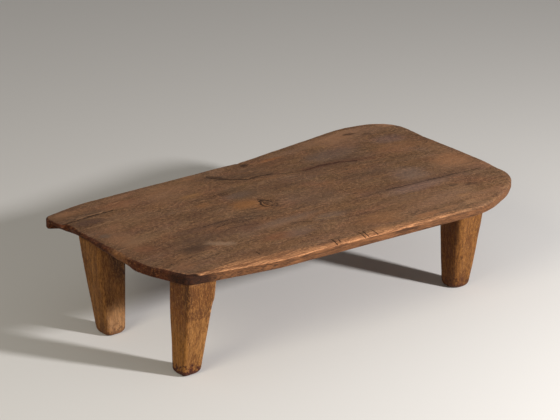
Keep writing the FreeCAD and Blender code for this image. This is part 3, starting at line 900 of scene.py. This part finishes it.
# The mesh goes a little into the plank, whose underside is uneven
LEG_SHOULDER = 0.2042
LEG_SIDES = np.array([
    # height and side of the post
    (0.000, 0.0500), (0.025, 0.0520), (0.051, 0.0560), (0.077, 0.0600), (0.102, 0.0635),
    (0.126, 0.0665), (0.152, 0.0697), (0.180, 0.0729), (0.203, 0.0755),
])
SOLE_IN = 0.0085
SOLE_RISE = 0.0105
TENON_RADIUS = 0.021
TENON_TOP = 0.2173
POST_SIDES = 128
UNDERFOOT_ROWS, SOLE_ROWS, SHAFT_ROWS = 3, 11, 64
GOLDEN = ((82, 47, 18), (126, 82, 39), (164, 117, 64))
PALE_GOLD = ((78, 45, 18), (120, 79, 37), (156, 111, 62))
AMBER = ((72, 40, 15), (113, 71, 31), (150, 103, 52))
UMBER, SOOT = (80, 45, 20), (40, 17, 9)
LEGS = {
    # head, foot, thickness, corner radii from the back right one round by the left, tones,
    # stained patches and patches of painted lamp light and shade with their middle, reach,
    # strength and colour, strength of the dark foot, and lumps with their middle, reach and height
    "front_left": {
        "head": (-0.4247, -0.19293), "foot": (-0.4395, -0.18583), "thickness": 0.97,
        "corners": (0.013, 0.012, 0.006, 0.012), "tones": GOLDEN, "foot_stain": 1.0,
        "stains_and_painted_light": [((-0.474, -0.190, 0.170), (0.022, 0.080, 0.090), 0.40, (128, 66, 22)),
                   ((-0.474, -0.186, 0.058), (0.022, 0.080, 0.062), 0.60, (166, 114, 50)),
                   ((-0.435, -0.195, 0.180), (0.060, 0.060, 0.048), 0.76, (90, 50, 18)),
                   # Painted shade: a thin dark band across the front face under the ledge above it
                   ((-0.430, -0.222, 0.135), (0.056, 0.034, 0.014), 0.72, (74, 40, 16)),
                   ((-0.470, -0.225, 0.178), (0.022, 0.022, 0.046), 0.65, (56, 31, 16)),
                   ((-0.402, -0.222, 0.1345), (0.007, 0.010, 0.004), 0.85, (214, 168, 120))],
        "lumps": [((-0.397, -0.222, 0.163), (0.022, 0.026, 0.026), 0.0022)],
    },
    "back_left": {
        "head": (-0.4365, 0.10856), "foot": (-0.4415, 0.07656), "thickness": 1.01,
        "corners": (0.012, 0.013, 0.009, 0.012), "tones": PALE_GOLD, "foot_stain": 0.45,
        # The dark upper patch is part staining and part painted shadow of the plank; the pale low one is
        # painted lamp light below that shadow, over paler wood
        "stains_and_painted_light": [((-0.410, 0.070, 0.185), (0.045, 0.034, 0.090), 0.95, (46, 25, 12)),
                   ((-0.436, 0.042, 0.036), (0.044, 0.024, 0.062), 0.92, (163, 124, 87))],
        "lumps": [],
    },
    "front_right": {
        "head": (0.3010, -0.20119), "foot": (0.2990, -0.18719), "thickness": 1.02,
        "corners": (0.014, 0.014, 0.016, 0.014), "tones": AMBER, "foot_stain": 0.65,
        "stains_and_painted_light": [((0.290, -0.200, 0.020), (0.060, 0.060, 0.040), 0.45, UMBER),
                   # Dark red band on the left face: part reddish staining, part painted shade of the plank
                   # over that face
                   ((0.262, -0.190, 0.100), (0.012, 0.050, 0.140), 0.45, (92, 44, 14))],
        "lumps": [],
    },
    "back_right": {
        "head": (0.3150, 0.19588), "foot": (0.3160, 0.17388), "thickness": 1.00,
        "corners": (0.014, 0.014, 0.014, 0.014), "tones": AMBER, "foot_stain": 0.65,
        "stains_and_painted_light": [((0.310, 0.190, 0.180), (0.050, 0.060, 0.045), 0.40, UMBER)],
        "lumps": [],
    },
}


def leg_surface(head, foot, thickness, corners, lumps, seed):
    """Points, quads, triangles and corner closeness of one leg as a closed surface.

    Each level is a square with rounded corners, drawn as a distance from the leg's
    middle at each angle t: half side / cos(t), or on a corner of radius c whose centre
    is m away, m cos(t) + sqrt(c^2 - m^2 sin(t)^2), with t from the face or corner.
    """
    count = POST_SIDES
    # Angles crowd towards the corners, which lie half way between the faces
    turn = np.arange(count) / count * math.tau
    turn += 0.12 * np.sin(4 * turn)
    off = np.abs(turn % (math.pi / 2) - math.pi / 4)
    radii = np.array(corners)[np.floor(turn / (math.pi / 2)).astype(int) % 4]

    sole = np.radians(np.linspace(0, 90, SOLE_ROWS))
    heights = np.concatenate([np.zeros(UNDERFOOT_ROWS), SOLE_RISE * (1 - np.cos(sole)),
                              np.linspace(SOLE_RISE + 0.003, LEG_SHOULDER, SHAFT_ROWS)])
    half = np.interp(heights, LEG_SIDES[:, 0], LEG_SIDES[:, 1]) / 2
    half[UNDERFOOT_ROWS:-SHAFT_ROWS] -= SOLE_IN * (1 - np.sin(sole))
    half[:UNDERFOOT_ROWS] = half[UNDERFOOT_ROWS] * np.array([0.3, 0.6, 0.85])
    shaft = slice(UNDERFOOT_ROWS + SOLE_ROWS, -4)
    half[shaft] = np.convolve(half, np.ones(9) / 9, mode="same")[shaft]
    soft = 1 + 0.25 * smooth_step(0.020, 0.0, heights)

    a = half[:, None] * thickness
    c = np.minimum(radii * soft[:, None], a * 0.98)
    m = math.sqrt(2) * (a - c)
    straight = off > math.pi / 4 - np.arctan((a - c) / a)
    corner = m * np.cos(off) + np.sqrt(np.maximum(c ** 2 - (m * np.sin(off)) ** 2, 0))
    reach = np.where(straight, a / np.cos(math.pi / 4 - off), corner)

    middle = np.array(head) + (np.array(foot) - np.array(head)) * (1 - heights / LEG_HEIGHT)[:, None]
    shell = np.stack([middle[:, :1] + reach * np.cos(turn), middle[:, 1:] + reach * np.sin(turn),
                      np.broadcast_to(heights[:, None], reach.shape)], axis=2)
    hewn = 0.00060 * ripple(shell, (0.040, 0.040, 0.130), 20, seed) - 0.0003
    hewn += 0.00025 * ripple(shell, (0.012, 0.012, 0.060), 24, seed + 1)
    for centre, size, high in lumps:
        gap = (shell - np.array(centre)) / np.array(size)
        gap[:, :, 2] = np.where(gap[:, :, 2] < 0, gap[:, :, 2] * 2.2, gap[:, :, 2])
        hewn += high * np.exp(-(gap ** 2).sum(axis=2))
    hewn *= smooth_step(0.0, 0.012, heights)[:, None]
    shell[:, :, 0] += hewn * np.cos(turn)
    shell[:, :, 1] += hewn * np.sin(turn)

    # Shoulder and tenon close the head
    ring = np.stack([np.cos(turn), np.sin(turn)], axis=1)
    crown_radius = np.array([TENON_RADIUS + 0.004, TENON_RADIUS, TENON_RADIUS, TENON_RADIUS,
                             TENON_RADIUS - 0.001, TENON_RADIUS * 0.5])
    crown_level = np.array([LEG_SHOULDER, LEG_SHOULDER, 0.210, TENON_TOP - 0.001, TENON_TOP, TENON_TOP])
    crown = np.concatenate([
        np.array(head) + crown_radius[:, None, None] * ring,
        np.broadcast_to(crown_level[:, None, None], (len(crown_level), count, 1)),
    ], axis=2)
    shell = np.concatenate([shell, crown])
    rows = len(shell)
    numbers = np.arange(rows * count).reshape(rows, count)
    ahead = np.roll(numbers, -1, axis=1)
    quads = np.stack([numbers[:-1], ahead[:-1], ahead[1:], numbers[1:]], axis=2).reshape(-1, 4)
    bottom, top = rows * count, rows * count + 1
    triangles = np.concatenate([
        np.stack([np.full(count, bottom), ahead[0], numbers[0]], axis=1),
        np.stack([np.full(count, top), numbers[-1], ahead[-1]], axis=1),
    ])
    points = np.concatenate([shell.reshape(-1, 3), [(*foot, 0.0), (*head, TENON_TOP)]])
    ridge = np.concatenate([np.tile(np.exp(-(off / 0.20) ** 2), rows), [0, 0]])
    return points, quads, triangles, ridge


def leg_wood(name, foot, tones, stains_and_painted_light, foot_stain):
    """Golden hardwood with fine upright grain, its stained patches, painted lamp light and painted shade on
    some faces, and its dark foot.
    """
    material, tree, spot, parts = bare_material(name)
    moved = vector_calc(tree, "SUBTRACT", spot, (*foot, 0.0))
    across = put(tree, "ShaderNodeSeparateXYZ", Vector=moved).outputs
    upright = put(tree, "ShaderNodeCombineXYZ", X=across["Z"], Y=across["X"], Z=across["Y"]).outputs[0]
    wood = grain(tree, upright, 0.045, 0.0046)
    mottle = noise(tree, moved, 26.0, 4.0, 0.6)
    grit = noise(tree, upright, (110.0, 300.0, 300.0), 4.0, 0.85, 0.0, 0.33, 0.67)
    flecks = noise(tree, moved, (260.0, 260.0, 110.0), 3.0, 0.6, low=0.50, high=0.66)
    dark, middle, light = (shade(*tone) for tone in tones)
    colour = tint(tree, wood["Tone"], middle, light)
    colour = tint(tree, times(tree, mottle, 0.45), colour, middle)
    colour = tint(tree, times(tree, calc(tree, "SUBTRACT", 1.0, wood["Streaks"]), 0.65), colour, dark)
    colour = tint(tree, times(tree, wood["Fibres"], 0.45), colour, light)
    colour = lay(tree, colour, flecks, 0.35, (112, 60, 26))
    colour = lay(tree, colour, wood["Pores"], 0.55, (70, 39, 18))
    colour = tint(tree, times(tree, attribute(tree, "ridge"), mottle, 0.40), colour, light)
    bands = noise(tree, upright, (8.0, 135.0, 135.0), 2.0, 0.6, 0.5, 0.36, 0.64)
    colour = tint(tree, times(tree, remap(tree, bands, 0.5, 0.0), 0.40), colour, dark)
    colour = tint(tree, times(tree, remap(tree, bands, 0.5, 1.0), 0.36), colour, light)
    ragged = use(tree, UNEVEN, Vector=spot, Scale=75.0, Amount=0.018)["Vector"]
    streaky = scaled(tree, wood["Streaks"], -0.35, 1.15)
    # Stained patches, and on some faces patches of painted lamp light and painted shade
    for centre, reach, strength, mark_colour in stains_and_painted_light:
        mask = patch(tree, ragged, centre, reach, 0.6)
        colour = lay(tree, colour, times(tree, mask, streaky), strength, mark_colour)
    threads = noise(tree, upright, (16.0, 420.0, 420.0), 3.0, 0.8, 0.0, 0.38, 0.62)
    colour = tint(tree, times(tree, threads, 0.48), colour, dark)
    patchy = scaled(tree, mottle, 0.55, 0.35)
    colour = tint(tree, times(tree, remap(tree, grit, 0.5, 0.0), patchy), colour, dark)
    colour = tint(tree, times(tree, remap(tree, grit, 0.5, 1.0), 0.60), colour, light)
    jagged = noise(tree, moved, 90.0, 2.0, 0.6)
    low = remap(tree, calc(tree, "ADD", parts["Z"], times(tree, jagged, 0.021)), 0.023, 0.030, 1.0, 0.0)
    soot = tint(tree, grit, shade(*SOOT), shade(90, 45, 26))
    colour = tint(tree, times(tree, low, foot_stain), colour, soot)
    relief = calc(tree, "ADD", times(tree, wood["Height"], 0.5), times(tree, grit, 0.5))
    roughness = scaled(tree, mottle, 0.12, 0.50)
    finish_wood(tree, colour, relief, 0.7, 0.0009, roughness, 0.22)
    return material


for seed, (corner, leg) in enumerate(LEGS.items()):
    points, quads, triangles, ridge = leg_surface(leg["head"], leg["foot"], leg["thickness"],
                                                  leg["corners"], leg["lumps"], 31 + 10 * seed)
    post = make_piece(f"{corner}_post", points, quads, triangles, {"ridge": ridge})
    post.data.materials.append(leg_wood(f"{corner}_wood", leg["foot"], leg["tones"], leg["stains_and_painted_light"],
                                        leg["foot_stain"]))
    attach(post, "root")
    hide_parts(f"{corner}_leg")


# Wedges: four small split-wood wedges, driven into the saw cuts of the tenons so that
# these spread in their mortises. They are sealed in the plank.
def wedge_wood():
    """Pale split wood, unfinished, with its grain along the wedge."""
    material, tree, _, parts = bare_material("wedge_wood")
    upright = put(tree, "ShaderNodeCombineXYZ", X=parts["Z"], Y=parts["X"], Z=parts["Y"]).outputs[0]
    wood = grain(tree, upright, 0.016, 0.0020)
    colour = tint(tree, wood["Streaks"], shade(168, 128, 84), shade(212, 176, 128))
    colour = lay(tree, colour, wood["Pores"], 0.5, (120, 84, 50))
    roughness = scaled(tree, wood["Streaks"], 0.15, 0.6)
    finish_wood(tree, colour, wood["Height"], 0.4, 0.0003, roughness, 0.5)
    return material


split_wood = wedge_wood()
for corner in LEGS:
    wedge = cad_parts[f"{corner}_wedge"]
    wedge.data.materials.clear()
    wedge.data.materials.append(split_wood)


# Studio: a plain pale floor, a soft lamp low at the front right, a weak wide lamp from
# the upper left, pale light from all round, and the camera above the front left corner.
FLOOR_REACH = 40.0
FLOOR_BOUNCE, FLOOR_SEEN = (206, 188, 168), (220, 220, 220)
SKY_TONE, SKY_STRENGTH = (1.0, 0.945, 0.88, 1.0), 0.23
LAMPS = {
    # place, width, power and colour
    "soft_lamp": ((1.20, -2.92, 1.45), 0.30, 154.0, (1.0, 0.963, 0.935)),
    "fill_lamp": ((-3.50, -1.00, 2.60), 2.0, 55.0, (1.0, 0.91, 0.72)),
}
AIM = Vector((0.0, 0.0, 0.1))
CAMERA_PLACE = (-2.83545, -3.44563, 1.84616)
CAMERA_PITCH = 0.355245
CAMERA_TURN = 0.680418
CAMERA_LENS = 141.43
CAMERA_SENSOR = 36.0

floor_mesh = bpy.data.meshes.new("studio_floor")
rim = [(-FLOOR_REACH, -FLOOR_REACH, 0), (FLOOR_REACH, -FLOOR_REACH, 0),
       (FLOOR_REACH, FLOOR_REACH, 0), (-FLOOR_REACH, FLOOR_REACH, 0)]
floor_mesh.from_pydata(rim, [], [(0, 1, 2, 3)])
floor = add_object("studio_floor", floor_mesh)
floor_paint = bpy.data.materials.new("floor_paint")
floor_paint.use_nodes = True
floor_tree = floor_paint.node_tree
rays = put(floor_tree, "ShaderNodeLightPath").outputs
seen = strongest(floor_tree, [rays["Is Camera Ray"], rays["Is Glossy Ray"], rays["Is Transmission Ray"]])
painted = floor_tree.nodes["Principled BSDF"]
fill(floor_tree, painted.inputs["Base Color"],
     tint(floor_tree, seen, shade(*FLOOR_BOUNCE), shade(*FLOOR_SEEN)))
painted.inputs["Roughness"].default_value = 0.9
painted.inputs["Specular IOR Level"].default_value = 0.1
floor_mesh.materials.append(floor_paint)

sky = bpy.data.worlds.new("studio_light")
sky.use_nodes = True
sky.node_tree.nodes["Background"].inputs["Color"].default_value = SKY_TONE
sky.node_tree.nodes["Background"].inputs["Strength"].default_value = SKY_STRENGTH
bpy.context.scene.world = sky
for name, (place, width, power, tone) in LAMPS.items():
    lamp_data = bpy.data.lights.new(name, "AREA")
    lamp_data.shape = "DISK"
    lamp_data.size = width
    lamp_data.energy = power
    lamp_data.color = tone
    lamp = add_object(name, lamp_data)
    lamp.location = place
    lamp.rotation_mode = "QUATERNION"
    lamp.rotation_quaternion = (AIM - Vector(place)).to_track_quat("-Z", "Y")

camera_data = bpy.data.cameras.new("camera")
camera_data.sensor_width = CAMERA_SENSOR
camera_data.lens = CAMERA_LENS
camera = add_object("camera", camera_data)
camera.location = CAMERA_PLACE
camera.rotation_euler = (math.pi / 2 - CAMERA_PITCH, 0.0, -CAMERA_TURN)
bpy.context.scene.camera = camera
bpy.context.scene.view_settings.view_transform = "Standard"
